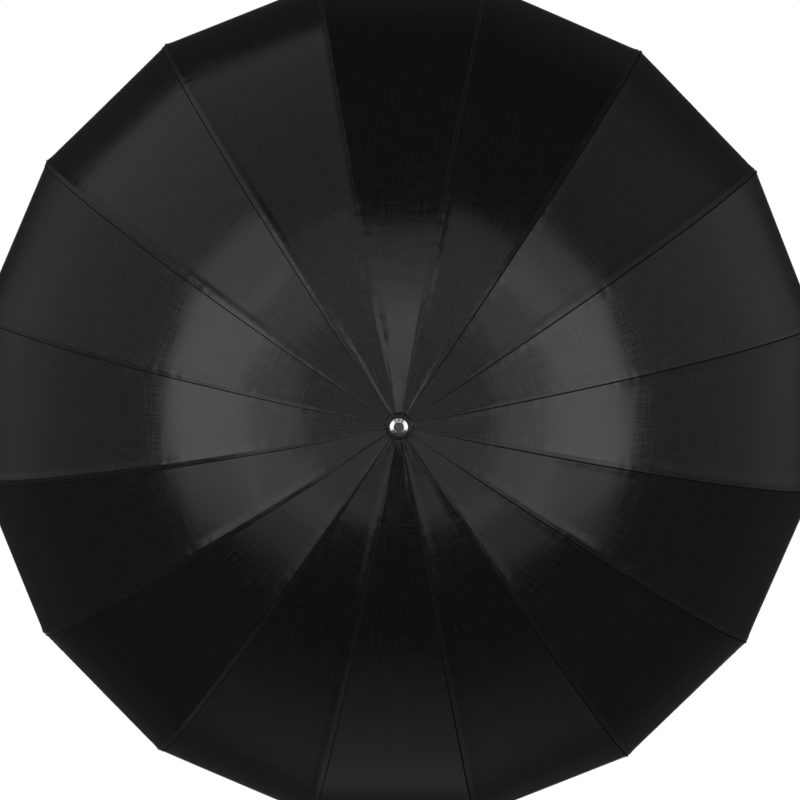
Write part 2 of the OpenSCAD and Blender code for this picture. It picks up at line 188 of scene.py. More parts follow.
def calc(tree, operation, *values):
    """One step of arithmetic on sockets or numbers."""
    return add_node(tree, "ShaderNodeMath", dict(enumerate(values)), operation=operation).outputs[0]


def ranged(tree, value, source=(0, 1), target=(0, 1), smooth=False):
    """A value of the source range as the same share of the target range, in a straight or a smooth step."""
    return add_node(tree, "ShaderNodeMapRange",
                    {"Value": value, "From Min": source[0], "From Max": source[1],
                     "To Min": target[0], "To Max": target[1]},
                    interpolation_type="SMOOTHSTEP" if smooth else "LINEAR").outputs[0]


def between(tree, share, first, second):
    """The colour that lies at a share of the way from the first sRGB colour to the second."""
    return add_node(tree, "ShaderNodeMix", {"Factor": share, "A": linear(first), "B": linear(second)},
                    data_type="RGBA").outputs["Result"]


def object_place(tree):
    """Coordinates on the object itself, in metres."""
    return add_node(tree, "ShaderNodeTexCoord").outputs["Object"]


def noise(tree, place, grain=1.0, detail=2.0, distortion=0.0):
    """Cloudy noise whose clouds are about one grain wide."""
    return add_node(tree, "ShaderNodeTexNoise", {"Vector": place, "Scale": 1 / grain, "Detail": detail,
                                                 "Distortion": distortion}).outputs["Fac"]


def bump(tree, height, strength, deep, **over):
    """The normal of a relief that is so deep. over names the normal of a coarser relief below it."""
    return add_node(tree, "ShaderNodeBump",
                    {"Height": height, "Strength": strength, "Distance": deep, **over}).outputs[0]


print("helpers ready: linear, add_node, new_material, feed, calc, ranged, between, noise, bump")

# %% [markdown]
# A black satin cloth is seen by what it mirrors, so the studio matters more than the paint. The wall behind
# the umbrella is white, and the camera sees it everywhere. Mirrored rays see it only straight behind, a pale
# glow from the side walls, and elsewhere the dim room, which keeps the outer cloth black. All other rays get
# an even soft light. The world shader sorts this out by the kind of ray and by its direction. The limits of
# directions are cosines: 0.98 lies 11 degrees from an axis, 0.92 lies 23 and 0.5 lies 60.

# %% World
world = bpy.data.worlds.new("studio")
bpy.context.scene.world = world
world.use_nodes = True
tree = world.node_tree
tree.nodes.clear()
ray = add_node(tree, "ShaderNodeLightPath").outputs
direction = add_node(tree, "ShaderNodeTexCoord").outputs["Generated"]
x, y, z = add_node(tree, "ShaderNodeSeparateXYZ", {"Vector": direction}).outputs
behind = ranged(tree, y, (0.92, 0.98), smooth=True)
side_wall = ranged(tree, calc(tree, "ABSOLUTE", x), (0.5, 0.92), (0, 0.36), smooth=True)
not_low = ranged(tree, z, (-0.35, 0.1), (0.12, 1), smooth=True)
in_front = ranged(tree, y, (-0.2, 0.5), (0.075, 0.03), smooth=True)
glow = calc(tree, "MULTIPLY_ADD", side_wall, not_low, in_front)
mirrored = calc(tree, "MAXIMUM", ray["Is Glossy Ray"], ray["Is Transmission Ray"])
sees_wall = calc(tree, "MAXIMUM", ray["Is Camera Ray"], calc(tree, "MULTIPLY", mirrored, behind))
soft_fill = add_node(tree, "ShaderNodeBackground", {"Color": linear("#e4e5e6"), "Strength": 0.22})
dim_room = add_node(tree, "ShaderNodeBackground", {"Color": linear("#e4e5e6"), "Strength": glow})
white_wall = add_node(tree, "ShaderNodeBackground", {"Color": linear("#ffffff"), "Strength": 1.0})
room = add_node(tree, "ShaderNodeMixShader",
                {0: mirrored, 1: soft_fill.outputs[0], 2: dim_room.outputs[0]})
shown = add_node(tree, "ShaderNodeMixShader",
                 {0: sees_wall, 1: room.outputs[0], 2: white_wall.outputs[0]})
add_node(tree, "ShaderNodeOutputWorld", {"Surface": shown.outputs[0]})
print("world: white wall behind, dim room in front")

# %% [markdown]
# A softbox is an area lamp. Its brightness is given here as radiance, the number that a mirror would show,
# and Blender's power follows from it: power = radiance x pi x area. Each lamp stands on a sphere round the
# crown and faces it. A real softbox is brightest in its middle, so the large ones are stacks of panels of
# different radiance. On each side they grow brighter outwards, so the sheen grows towards the rim and ends
# at the last one's edge. A narrow stack hangs above the camera and fades upwards. A faint lamp at the ceiling
# lifts the outer cloth on the left, and one behind the umbrella lights the silver inside.

# %% Lamps
crown_point = Vector((0, apex_y, 0))
top_distance = 2.8
top_half_wide = 4.5
fade_start, fade_step = 31, 6
fade_radiances = (1.28, 0.98, 0.68, 0.38, 0.14)
# Each side panel: degrees aside, degrees above, half width and half height in degrees, radiance.
side_panels = {"low_screen": (19, -20, 11, 14, 0.62),
               "high_screen": (20, 9.5, 11, 15.5, 0.40),
               "top_screen": (20, 40, 11, 15.5, 0.48),
               "foot_strip": (40, -32, 11, 8, 0.45),
               "low_strip": (38.5, -9.5, 8, 14.5, 1.12),
               "high_strip": (39, 21, 8, 16, 0.78),
               "softbox_low": (57.5, -17.5, 11.5, 7.5, 1.0),
               "softbox_middle": (57.5, 1.5, 11.5, 11.5, 1.65),
               "softbox_high": (56.5, 20.5, 11, 7.5, 1.4),
               "softbox_edge": (54, 35, 9, 7, 0.8)}


def softbox(name, aside, above, half_wide, half_high, radiance, distance=3.0):
    """An area lamp at two angles from the shaft's axis, as wide and high as its half angles, in degrees."""
    lamp = bpy.data.lights.new(name, "AREA")
    lamp.shape = "RECTANGLE"
    lamp.size = 2 * distance * math.tan(math.radians(half_wide))
    lamp.size_y = 2 * distance * math.tan(math.radians(half_high))
    lamp.energy = radiance * math.pi * lamp.size * lamp.size_y
    a, e = math.radians(aside), math.radians(above)
    away = Vector((math.sin(a) * math.cos(e), -math.cos(a) * math.cos(e), math.sin(e)))
    box = bpy.data.objects.new(name, lamp)
    bpy.context.scene.collection.objects.link(box)
    box.location = crown_point + distance * away
    box.rotation_mode = "QUATERNION"
    box.rotation_quaternion = away.to_track_quat("Z", "Y")
    box.visible_camera = False
    return box


lamps = [softbox("softbox_top", 0, 13.5, top_half_wide, 15, 1.52, top_distance),
         softbox("softbox_behind", 180, -2, 20, 18, 2.2, 3.2),
         softbox("ceiling_left", -90, 52, 32, 20, 0.25)]
for i, radiance in enumerate(fade_radiances):
    lamps.append(softbox(f"softbox_top_fade_{i}", 0, fade_start + fade_step * i, top_half_wide,
                         fade_step / 2, radiance, top_distance))
for hand, sign in (("left", -1), ("right", 1)):
    for name, (aside, *rest) in side_panels.items():
        lamps.append(softbox(f"{name}_{hand}", sign * aside, *rest))
print("lamps:", ", ".join(f"{box.name} {box.data.energy:.0f} W" for box in lamps))

# %% [markdown]
# The umbrella hangs on a stand, so the floor lies well below it. It is a pale matte disc that catches the
# soft shadow and dissolves at its edge, so no horizon cuts through the white wall. A cloudy pattern of a
# few centimetres keeps the paint from looking like plain plastic.

# %% Floor
floor_z = cad_low.z - 2.2
floor_r = 2.2
floor_sides = 96
turn = np.linspace(0, 2 * np.pi, floor_sides, endpoint=False)
floor_points = np.column_stack([floor_r * np.cos(turn), floor_r * np.sin(turn),
                                np.full(floor_sides, floor_z)])
floor_mesh = bpy.data.meshes.new("floor")
floor_mesh.from_pydata(floor_points.tolist(), [], [list(range(floor_sides))])
floor = bpy.data.objects.new("floor", floor_mesh)
bpy.context.scene.collection.objects.link(floor)
floor_paint, tree, shader = new_material("matt_pale_floor", Roughness=0.9, Specular_IOR_Level=0.1)
place = object_place(tree)
cloud = noise(tree, place, 90 * mm)
flat = add_node(tree, "ShaderNodeVectorMath", {0: place, 1: (1, 1, 0)}, operation="MULTIPLY")
away = add_node(tree, "ShaderNodeVectorMath", {0: flat.outputs[0]}, operation="LENGTH").outputs["Value"]
feed(tree, shader, Base_Color=between(tree, cloud, "#9a9a98", "#a4a4a2"),
     Alpha=ranged(tree, away, (0.25 * floor_r, 0.97 * floor_r), (1, 0), smooth=True))
floor_mesh.materials.append(floor_paint)
print(f"floor at z {floor_z:.2f}")

# %% [markdown]
# The outside of the canopy is black nylon taffeta: filament threads woven over and under, calendered until
# the cloth shines like satin. The eye gets a soft mirror with a fine, uneven cross-hatch, because some
# threads are thicker and took less dye. Real threads lie about 0.15 mm apart, far too fine for this picture,
# so the weave is drawn at 3.8 mm, two to three pixels, and a streak of one thread is 50 mm long. The threads
# differ mostly in gloss, so the weave shows best where a narrow lamp or a lamp's edge is mirrored.

# %% Black taffeta
thread_drawn = 3.8 * mm
thread_streak = 50 * mm


def cloth_place(tree):
    """Coordinates on the flat cloth, in metres: sideways and along the gore."""
    return add_node(tree, "ShaderNodeUVMap", uv_map="cloth").outputs[0]


def weave(tree):
    """Thickness of warp plus weft: two noises, each squeezed across its threads and stretched along them."""
    across, lengthwise = 2 / thread_drawn, 1 / thread_streak
    threads = []
    for scale in ((across, lengthwise, 1), (lengthwise, across, 1)):
        run = add_node(tree, "ShaderNodeMapping", {"Vector": cloth_place(tree), "Scale": scale})
        threads.append(noise(tree, run.outputs[0], detail=1))
    return calc(tree, "ADD", *threads)


taffeta, tree, shader = new_material("black_nylon_taffeta", Sheen_Weight=0.03, Sheen_Roughness=0.4)
threads = weave(tree)
hatch = ranged(tree, threads, (0.75, 1.3))
feed(tree, shader, Base_Color=between(tree, hatch, "#0a0a0b", "#0f0f11"),
     Roughness=ranged(tree, hatch, target=(0.135, 0.26)),
     Specular_IOR_Level=ranged(tree, hatch, target=(0.44, 0.56)),
     Normal=bump(tree, threads, 0.3, 0.05 * mm))
print("finish:", taffeta.name)

# %% [markdown]
# The inside is the same cloth with a coat of aluminium, which makes it a soft silver mirror. It is metal
# only at the surface, so it is shaded as partly metal with a fairly rough finish. The threads show through,
# and so do faint creases of about 40 mm.

# %% Silver lining
lining, tree, shader = new_material("aluminium_coated_lining", Metallic=0.6, Roughness=0.4)
creases = noise(tree, cloth_place(tree), 40 * mm, detail=5)
feed(tree, shader, Base_Color=between(tree, creases, "#c8cacc", "#e2e3e5"),
     Normal=bump(tree, weave(tree), 0.4, 0.08 * mm, Normal=bump(tree, creases, 0.25, 0.8 * mm)))
print("finish:", lining.name)

# %% [markdown]
# Stitches are spun polyester, a twisted yarn with a dull shine and tiny hairs. A sheen stands for the
# hairs, and the twist is a diagonal wave, one turn per millimetre of thread. The raw edges are bound
# with a matt black tape. The same tape is laid on one line of each lap as a painted shadow: it is darker
# than the cloth and hardly shines, so it draws a dark line on the satin cloth where shade would fall
# beside the raised seam. Its ribs are 2 mm apart, on the cloth's UV map.

# %% Sewing thread, and tape for bindings and a painted seam shadow
def bands(tree, place, spacing, towards, distortion=0.0):
    """A wave with one band per spacing. Its sine runs at 20 x scale radians: scale = 2 pi / (20 spacing)."""
    inputs = {"Vector": place, "Scale": 2 * math.pi / (20 * spacing), "Distortion": distortion}
    return add_node(tree, "ShaderNodeTexWave", inputs, bands_direction=towards).outputs["Fac"]


thread, tree, shader = new_material("spun_polyester_thread", Roughness=0.6, Sheen_Weight=0.2)
twist = bands(tree, object_place(tree), 1 * mm, "DIAGONAL")
feed(tree, shader, Base_Color=between(tree, twist, "#0d0d0e", "#202022"),
     Normal=bump(tree, twist, 0.4, 0.1 * mm))

# Along the laps this dark, dull tape is a painted shadow line. On the raw border it is a binding.
binding_and_shadow_tape, tree, shader = new_material("matt_black_binding_and_painted_shadow", Roughness=0.9, Specular_IOR_Level=0.15)
ribbed = bands(tree, cloth_place(tree), 2 * mm, "Y", distortion=1)
feed(tree, shader, Base_Color=between(tree, ribbed, "#050506", "#0c0c0d"),
     Normal=bump(tree, ribbed, 0.3, 0.1 * mm))
print("finishes:", thread.name, binding_and_shadow_tape.name)

# %% [markdown]
# Every new piece is a grid: points in rows and columns, computed as whole arrays. One helper numbers the
# quads of a grid, and another puts points, faces, finishes and the cloth's UV map into a mesh at once.
# A third measures the volume inside, which is positive only when the faces point outwards.

# %% Helpers for meshes
def grid_quads(rows, columns, around=False, ring=False):
    """Quads of a grid numbered row by row. around joins the last column to the first, ring the last row."""
    i, j = np.meshgrid(np.arange(rows if ring else rows - 1),
                       np.arange(columns if around else columns - 1), indexing="ij")
    below, right = (i + 1) % rows, (j + 1) % columns
    return np.stack([i * columns + j, i * columns + right, below * columns + right, below * columns + j],
                    axis=-1).reshape(-1, 4)


def volume_inside(points, quads):
    """Sum over the quads' two triangles of a . (b x c) / 6."""
    a, b, c, d = (points[quads[:, i]] for i in range(4))
    return float(np.sum(a * np.cross(b, c)) + np.sum(a * np.cross(c, d))) / 6


def outwards(points, quads):
    """The quads, turned round where they enclose a negative volume."""
    return quads if volume_inside(points, quads) > 0 else quads[:, ::-1]


def new_piece(name, points, quads, finishes, finish_of_quad=None, uv=None):
    """A mesh object of quads with smooth faces. uv holds one pair for each point."""
    mesh = bpy.data.meshes.new(name)
    mesh.vertices.add(len(points))
    mesh.vertices.foreach_set("co", np.asarray(points, np.float32).ravel())
    mesh.loops.add(4 * len(quads))
    mesh.loops.foreach_set("vertex_index", np.asarray(quads, np.int32).ravel())
    mesh.polygons.add(len(quads))
    mesh.polygons.foreach_set("loop_start", np.arange(0, 4 * len(quads), 4, dtype=np.int32))
    mesh.update(calc_edges=True)
    mesh.polygons.foreach_set("use_smooth", np.ones(len(quads), bool))
    for finish in finishes:
        mesh.materials.append(finish)
    if finish_of_quad is not None:
        mesh.polygons.foreach_set("material_index", np.asarray(finish_of_quad, np.int32))
    if uv is not None:
        layer = mesh.uv_layers.new(name="cloth")
        layer.data.foreach_set("uv", np.asarray(uv, np.float32)[np.asarray(quads).ravel()].ravel())
    mesh.validate()
    piece = bpy.data.objects.new(name, mesh)
    bpy.context.scene.collection.objects.link(piece)
    return piece


print("helpers ready: grid_quads, volume_inside, outwards, new_piece")

# %% [markdown]
# One panel (a gore) is flat from rib to rib and bends only along the ribs, as taut cloth does. A place on it
# is given by the run, which is the distance from the apex along a rib, and by the distance sideways from the
# panel's middle line. Points are worked out as (outwards, deep, sideways) in the gore's own upright plane and
# then turned about the shaft to the gore's place on the clock.

# %% Shape of a flat-sided dome slice
def slope_at(run):
    """Slope of a rib: the first slope on the straight, and then growing by (run - straight) / R."""
    return apex_slope + np.maximum(run - straight_run, 0) / dome_r


def rib_out(run):
    """A rib's distance from the shaft: run cos(slope) on the straight, then centre + R sin(slope)."""
    on_arc = centre_out + dome_r * np.sin(slope_at(run))
    return np.where(run < straight_run, run * math.cos(apex_slope), on_arc)


def gore_base(run, side):
    """Points (outwards, deep, sideways) of a slice. Its middle lies at cos h times the ribs' distance."""
    on_arc = centre_deep - dome_r * np.cos(slope_at(run))
    deep = np.where(run < straight_run, run * math.sin(apex_slope), on_arc)
    return np.stack([rib_out(run) * math.cos(half_gore) + 0 * side, deep + 0 * side, side + 0 * run], axis=-1)


def gore_normal(run):
    """Unit vector out of the slice: (sin p, -cos p cos h, 0) at the slope p, scaled to length one."""
    p = slope_at(run)
    n = np.stack([np.sin(p), -np.cos(p) * math.cos(half_gore), 0 * p], axis=-1)
    return n / np.linalg.norm(n, axis=-1, keepdims=True)


def half_width(run):
    """Half the width of a slice: the ribs' distance from the shaft times sin h."""
    return rib_out(run) * math.sin(half_gore)


def on_clock(points, clock):
    """Turns (outwards, deep, sideways) to x = o sin c + s cos c, y = apex + d, z = o cos c - s sin c."""
    o, d, s = np.moveaxis(points, -1, 0)
    return np.stack([o * math.sin(clock) + s * math.cos(clock), d + apex_y,
                     o * math.cos(clock) - s * math.sin(clock)], axis=-1)


def before(k):
    """The number of the gore or rib one pitch back on the clock."""
    return (k - 2) % rib_count + 1


print(f"a gore is {2 * half_width(rim_run):.4f} wide at the rim, and its ribs run {rim_run:.4f}")

# %% [markdown]
# Sewn cloth is never quite smooth. Stitching draws small waves along each seam, the pull of the ribs leaves
# broad shallow unevenness between them, and round the tip the cloth is gathered in small folds. Each is a
# sum of sines that fades with distance. The folds at the tip depend on the place alone, so that they run
# on across the seams. At the rim the cloth rolls in over the outer part of the hem.

# %% Unevenness of the cloth
calm_run = 80 * mm
pucker_lengths = (17 * mm, 29 * mm)
pucker_reach = 9 * mm
pucker_height = 0.11 * mm
pucker_seed = 100
slack_lengths = np.array([110, 170, 260]) * mm
slack_height = 0.14 * mm
spoke_height, crumple_height = 0.25 * mm, 0.5 * mm
folds_reach = 30 * mm
folds_seed = 7
folds_start, folds_rise = 16.8 * mm, 6 * mm
hem_width = 12 * mm
hem_turned = 9 * mm
hem_roll = 0.3 * mm


def seam_pucker(run, from_seam, seam):
    """Waves along a seam that fade away from it: two sines along the run times exp(-distance / reach)."""
    phase = np.random.default_rng(pucker_seed + seam).uniform(0, 2 * np.pi, 2)
    waves = sum(np.sin(2 * np.pi * run / length + p) for length, p in zip(pucker_lengths, phase))
    return pucker_height * waves * np.exp(-from_seam / pucker_reach) * np.clip(run / calm_run, 0, 1)


def slack(run, share, gore):
    """Broad shallow waves: three sines along the gore that die out at both seams."""
    a, b = np.random.default_rng(gore).uniform(0, 2 * np.pi, (2, 3))
    skewed = a + 1.5 * share[..., None] * np.sin(b)
    waves = np.sin(2 * np.pi * run[..., None] / slack_lengths + skewed).sum(axis=-1)
    return slack_height * waves * (1 - share ** 4) * np.clip(run / calm_run, 0, 1)


def tip_folds(x, z):
    """Gathers round the tip: spokes sin(23 t) and sin(37 t) at the angle t, crossed by six short waves of
    random direction. They start outside the washer, are deeper below the tip than above it, fade with the
    distance r as exp(-(r / reach)^2), and only stand outwards."""
    r, t = np.hypot(x, z), np.arctan2(x, z)
    rng = np.random.default_rng(folds_seed)
    heading, phase = rng.uniform(0, 2 * np.pi, (2, 6))
    length = rng.uniform(7, 12, 6) * mm
    across = (x[..., None] * np.sin(heading) + z[..., None] * np.cos(heading)) / length
    crumple = np.sin(2 * np.pi * across + phase).mean(axis=-1)
    spokes = 0.5 * (np.sin(23 * t + 1) + np.sin(37 * t))
    fade = np.exp(-(r / folds_reach) ** 2) * np.clip((r - folds_start) / folds_rise, 0, 1)
    return (spoke_height * (1 + spokes) + crumple_height * (1 + crumple)) * (0.65 - 0.35 * np.cos(t)) * fade


def hem_turn(from_rim):
    """How far the cloth rolls in at the rim: nothing where the roll starts, then growing with the square."""
    return hem_roll * np.clip(1 - from_rim / hem_turned, 0, 1) ** 2


def gore_relief(k, run, side):
    """Height of the outer cloth of gore k over the flat slice."""
    w, run = half_width(run), run + 0 * side
    place = on_clock(gore_base(run, side), (k - 1) * pitch)
    return (seam_pucker(run, w - side, k) + seam_pucker(run, w + side, before(k))
            + slack(run, side / w, k) + tip_folds(place[..., 0], place[..., 2]))


print(f"hem {hem_width / mm:.0f} mm wide, rolled in by {hem_roll / mm:.1f} mm")

# %% [markdown]
# The grid of a gore has rows along the run, closer in the hem, and columns from rib to rib, closer along both
# seams. Along one edge the cloth goes on past the rib and laps over the neighbour, where it is sewn down.
# That lap lies on the neighbour's slice, so its points are worked out there and turned back by one pitch.
# The seam allowance inside makes the lap thickest along one of its lines: the rib or the free edge,
# whichever is higher in the picture, and beside the upright top gore the one away from that gore. The
# cloth next to the thick line slopes up to it. The lap's end is cut in line with its own hem, which is one
# pitch off the neighbour's, so a small corner stands out at every rib: the lap gets longer by its width
# times the tangent of the pitch.

# %% Grid of a gore
cloth_t = 0.6 * mm
lap_t = 0.22 * mm
lap_gap = 0.1 * mm
lap_thin = 0.25 * mm
lap_thick = 0.75 * mm
lap_width = 8.5 * mm
lap_width_at_tip = 4.0 * mm
lap_widens_to = 400 * mm
lap_cut_from, lap_cut_rise = 50 * mm, 100 * mm
lap_flank = 12 * mm
thick_at_edge = (1, 3, 4, 5, 6, 7, 8, 9)
row_count, hem_rows, middle_columns = 190, 9, 12
edge_steps = np.array([0, 0.8, 1.8, 3.2, 5, 7, 9, 11, 14, 18]) * mm
lap_steps = np.array([0.06, 0.17, 0.32, 0.47, 0.63, 0.79, 0.92, 0.985, 1.0])
run_rows = np.concatenate([np.linspace(hole_run, rim_run - hem_width, row_count),
                           np.linspace(rim_run - hem_width, rim_run, hem_rows + 1)[1:]])[:, None]


def flank(beside, reach):
    """A smooth slope: one at the line, nothing at the reach, and (1 + cos) / 2 between."""
    return (1 + np.cos(np.pi * np.clip(beside / reach, 0, 1))) / 2


def gore_points(k):
    """Outer points, inner points and UV of gore k, each as rows x columns, placed on the clock. Near the tip,
    where the gore is narrow, everything sideways shrinks with its width."""
    run, w = run_rows, half_width(run_rows)
    shrink = np.minimum(1, w / (1.5 * edge_steps[-1]))
    near = w - edge_steps * shrink
    middle = np.linspace(1, -1, middle_columns + 2)[1:-1] * near[:, -1:]
    side = np.concatenate([near, middle, -near[:, ::-1]], axis=1)
    turned_in = hem_turn(rim_run - run)[..., None]
    n = gore_normal(run)

    foot, edge = (lap_thin, lap_thick) if k in thick_at_edge else (lap_thick, lap_thin)
    lap_reach = shrink * np.interp(run, [0, lap_widens_to], [lap_width_at_tip, lap_width])
    raised = foot * shrink * flank(w + side, lap_flank * shrink)
    if k % rib_count + 1 in thick_at_edge:
        under = np.clip((w - side) / lap_reach, 0, 1) * flank(w - side - lap_reach, lap_flank * shrink)
        raised = raised + (lap_thick - lap_t - lap_gap) * shrink * under
    outer = gore_base(run, side) + n * ((gore_relief(k, run, side) + raised)[..., None] - turned_in)
    inner = gore_base(run, side) + n * (slack(run + 0 * side, side / w, k)[..., None] - turned_in - cloth_t)

    e = lap_steps * lap_reach
    lap_run = run + e * math.tan(pitch) * np.clip((run - lap_cut_from) / lap_cut_rise, 0, 1)
    lap_side = half_width(lap_run) - e
    lift = gore_relief(before(k), lap_run, lap_side) + shrink * (foot + (edge - foot) * lap_steps)
    lap_n = gore_normal(lap_run)
    lap = gore_base(lap_run, lap_side) + lap_n * (lift[..., None] - turned_in)

    clock = (k - 1) * pitch
    outer = np.concatenate([on_clock(outer, clock), on_clock(lap, clock - pitch)], axis=1)
    inner = np.concatenate([on_clock(inner, clock), on_clock(lap - lap_n * lap_t, clock - pitch)], axis=1)
    uv = np.stack([np.concatenate([side, -w - e], axis=1), run + 0 * outer[..., 0]], axis=-1)
    return outer, inner, uv


def shell(outer, inner):
    """Points and quads of a closed sheet: the outer grid, the inner grid, and a strip round the border."""
    rows, columns = outer.shape[:2]
    count = rows * columns
    number = np.arange(count).reshape(rows, columns)
    border = np.concatenate([number[0, :], number[1:, -1], number[-1, -2::-1], number[-2:0:-1, 0]])
    after = np.roll(border, -1)
    strip = np.stack([border, after, after + count, border + count], axis=-1)
    face = grid_quads(rows, columns)
    return (np.concatenate([outer.reshape(-1, 3), inner.reshape(-1, 3)]),
            np.concatenate([face[:, ::-1], face + count, strip]))


print(f"{len(run_rows)} rows of {2 * len(edge_steps) + middle_columns} columns, "
      f"and {len(lap_steps)} on the lap")

# %% [markdown]
# Now the sixteen panels are made. The outer faces get the black taffeta and the inner faces the silver
# lining, apart from the inner side of the lap, which lies on the neighbour and is never seen. The dark tape
# binds the raw border all round, and a strip of it on the lap's thin line is a painted shadow beside the
# raised seam. The two laps of the upright top gore get no painted shadow.

# %% Build the gores
without_painted_shadow = (1, 2)
shadow_strip_columns = 3
gores = []
grids = []
for k in range(1, rib_count + 1):
    outer, inner, uv = gore_points(k)
    points, quads = shell(outer, inner)
    rows, columns = outer.shape[0] - 1, outer.shape[1] - 1
    on_lap = np.tile(np.arange(columns) - (columns - len(lap_steps)), rows)
    # The dark tape strip on the lap's thin line is a painted shadow beside the raised seam.
    if k in thick_at_edge:
        painted_shadow_quads = (on_lap >= -1) & (on_lap < shadow_strip_columns - 1)
    else:
        painted_shadow_quads = on_lap >= len(lap_steps) - shadow_strip_columns
    finish = np.concatenate([2 * (painted_shadow_quads & (k not in without_painted_shadow)), on_lap < 0,
                             np.full(len(quads) - 2 * rows * columns, 2)])
    gores.append(new_piece(f"gore_{k:02d}_cloth", points, quads, [taffeta, lining, binding_and_shadow_tape], finish,
                           np.concatenate([uv.reshape(-1, 2)] * 2)))
    grids.append(outer)
print(f"{len(gores)} gores of {len(quads)} quads, "
      f"{volume_inside(points, quads) * 1e6:.1f} cm3 of cloth each")

# %% [markdown]
# Stitches are what makes a seam read as sewn. Each is a short bead of thread: a square ring carried along
# the stitch, thin at both ends where it dives into the cloth. One bead is copied to every place of a row by
# adding its points, turned into the row's own directions, to the row's points.

# %% Beads of thread
stitch_pitch = 5 * mm
stitch_length = 3.8 * mm
stitch_r = 0.34 * mm
square = (np.arange(4) + 0.5) * np.pi / 2
bead_run = np.array([-0.5, -0.3, 0.3, 0.5]) * stitch_length
bead_r = np.array([0.3, 1, 1, 0.3]) * stitch_r
bead = np.stack([np.repeat(bead_run[:, None], 4, 1), bead_r[:, None] * np.cos(square),
                 bead_r[:, None] * np.sin(square)], axis=-1).reshape(-1, 3)


def tube_quads(rings):
    """Quads of a tube of square rings, with a lid on each end."""
    lids = np.array([[3, 2, 1, 0], [0, 1, 2, 3]]) + [[0], [4 * (rings - 1)]]
    return np.concatenate([grid_quads(rings, 4, around=True), lids])


def stitch_row(line, normals):
    """Beads along a line of points: evenly spaced by arc length, each laid along the line on its normal."""
    steps = np.linalg.norm(np.diff(line, axis=0), axis=1)
    run = np.concatenate([[0], np.cumsum(steps)])
    at = np.arange(stitch_pitch, run[-1] - stitch_pitch / 2, stitch_pitch)

    def pick(values, where):
        return np.stack([np.interp(where, run, values[:, i]) for i in range(3)], axis=-1)

    t = pick(line, at + mm) - pick(line, at - mm)
    t = t / np.linalg.norm(t, axis=1, keepdims=True)
    n = pick(normals, at)
    b = np.cross(t, n)
    points = (pick(line, at)[:, None] + bead[None, :, :1] * t[:, None] + bead[None, :, 1:2] * n[:, None]
              + bead[None, :, 2:] * b[:, None])
    first = (np.arange(len(at)) * len(bead))[:, None, None]
    return points.reshape(-1, 3), (tube_quads(len(bead_run)) + first).reshape(-1, 4)


def grid_line(grid, column):
    """One column of a grid and the normal along it: the cross product of the directions down and across."""
    n = np.cross(np.gradient(grid[:, column], axis=0), grid[:, column + 1] - grid[:, column - 1])
    return grid[:, column], n / np.linalg.norm(n, axis=1, keepdims=True)


print(f"a bead has {len(tube_quads(len(bead_run)))} faces, one every {stitch_pitch / mm:.0f} mm")

# %% [markdown]
# Each gore carries three rows: two that sew its lap to the neighbour, and one along the inner edge of the
# hem. The rows start a little way from the tip, where the cloth is hidden in its gathers.

# %% Sew the seams and hems
sewn_columns = (-4, -7)
sewn_rows = slice(12, -3)


def joined(parts):
    """Points and quads of several (points, quads) pairs as one mesh."""
    first = np.cumsum([0] + [len(points) for points, quads in parts[:-1]])
    return (np.concatenate([points for points, quads in parts]),
            np.concatenate([quads + start for (points, quads), start in zip(parts, first)]))


stitchings = []
for k, grid in enumerate(grids, start=1):
    stitches = []
    for column in sewn_columns:
        line, n = grid_line(grid, column)
        stitches.append(stitch_row(line[sewn_rows], n[sewn_rows]))
    line, n = grid_line(np.swapaxes(grid, 0, 1)[2:-1], row_count - 2)
    stitches.append(stitch_row(line, -n))
    stitchings.append(new_piece(f"gore_{k:02d}_stitching", *joined(stitches), [thread]))
print(f"{len(stitchings)} sets of stitches, {len(stitchings[0].data.polygons)} quads each")

# %% [markdown]
# On the real umbrella each gore hangs between two ribs and gathers in pleats when it folds. Here the
# cloth and the stitches of each gore keep the places they were built in: their placement is baked into
# their points, and the frame's own plain gore is hidden.

# %% Bake the gores in place
def follow_ribs(piece):
    """Bakes the piece's placement into its points."""
    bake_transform(piece)


for k, (gore, stitching) in enumerate(zip(gores, stitchings), start=1):
    follow_ribs(gore)
    follow_ribs(stitching)
    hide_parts(f"gore_{k:02d}")

# %% [markdown]
# Under the bright tip a small round patch of the same cloth covers the raw ends of the gores. The tip presses
# it down, so it stands up round the tip in two uneven folds and then lies out on the gores. It is a profile
# carried round the shaft, whose folds wander with the angle.

# %% Rosette under the tip
_, tip_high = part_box("tip_cap")
washer_low, washer_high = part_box("canopy_washer")
washer_r = washer_high.x
rosette_in = tip_high.x + 0.3 * mm
rosette_out = washer_r + 4.5 * mm
rosette_t = 0.3 * mm
rosette_clear = 0.7 * mm
fold_height, ripple_height = 0.9 * mm, 0.25 * mm
over_washer, over_laps = 2.2 * mm, 4 * mm
rosette_rows, rosette_columns = 41, 144
turn = np.linspace(0, 2 * np.pi, rosette_columns + 1)[:-1][None, :]
share = np.linspace(0, 1, rosette_rows)[:, None]
wander = 0.05 * np.sin(3 * turn + 0.5) + 0.04 * np.sin(7 * turn + 2) + 0.025 * np.sin(17 * turn)
frayed = (0.5 * np.sin(5 * turn) + 0.35 * np.sin(11 * turn)) * mm
radius = rosette_in + (rosette_out - rosette_in) * share + frayed * share
bare = radius - washer_r
seat = np.interp(bare, [0, over_washer], [washer_low.y, apex_y + washer_r * math.tan(apex_slope)])
dish = np.clip(bare, 0, None) * math.tan(apex_slope)
folds = np.maximum(0, np.sin(2 * np.pi * (2.2 * share + 3 * wander)))
folds = folds * np.sin(np.pi * np.clip(1.25 * share, 0, 1))
ripple = ripple_height * (np.sin(29 * turn + 1) + 0.6 * np.sin(47 * turn)) * share
x, z = radius * np.sin(turn), radius * np.cos(turn)
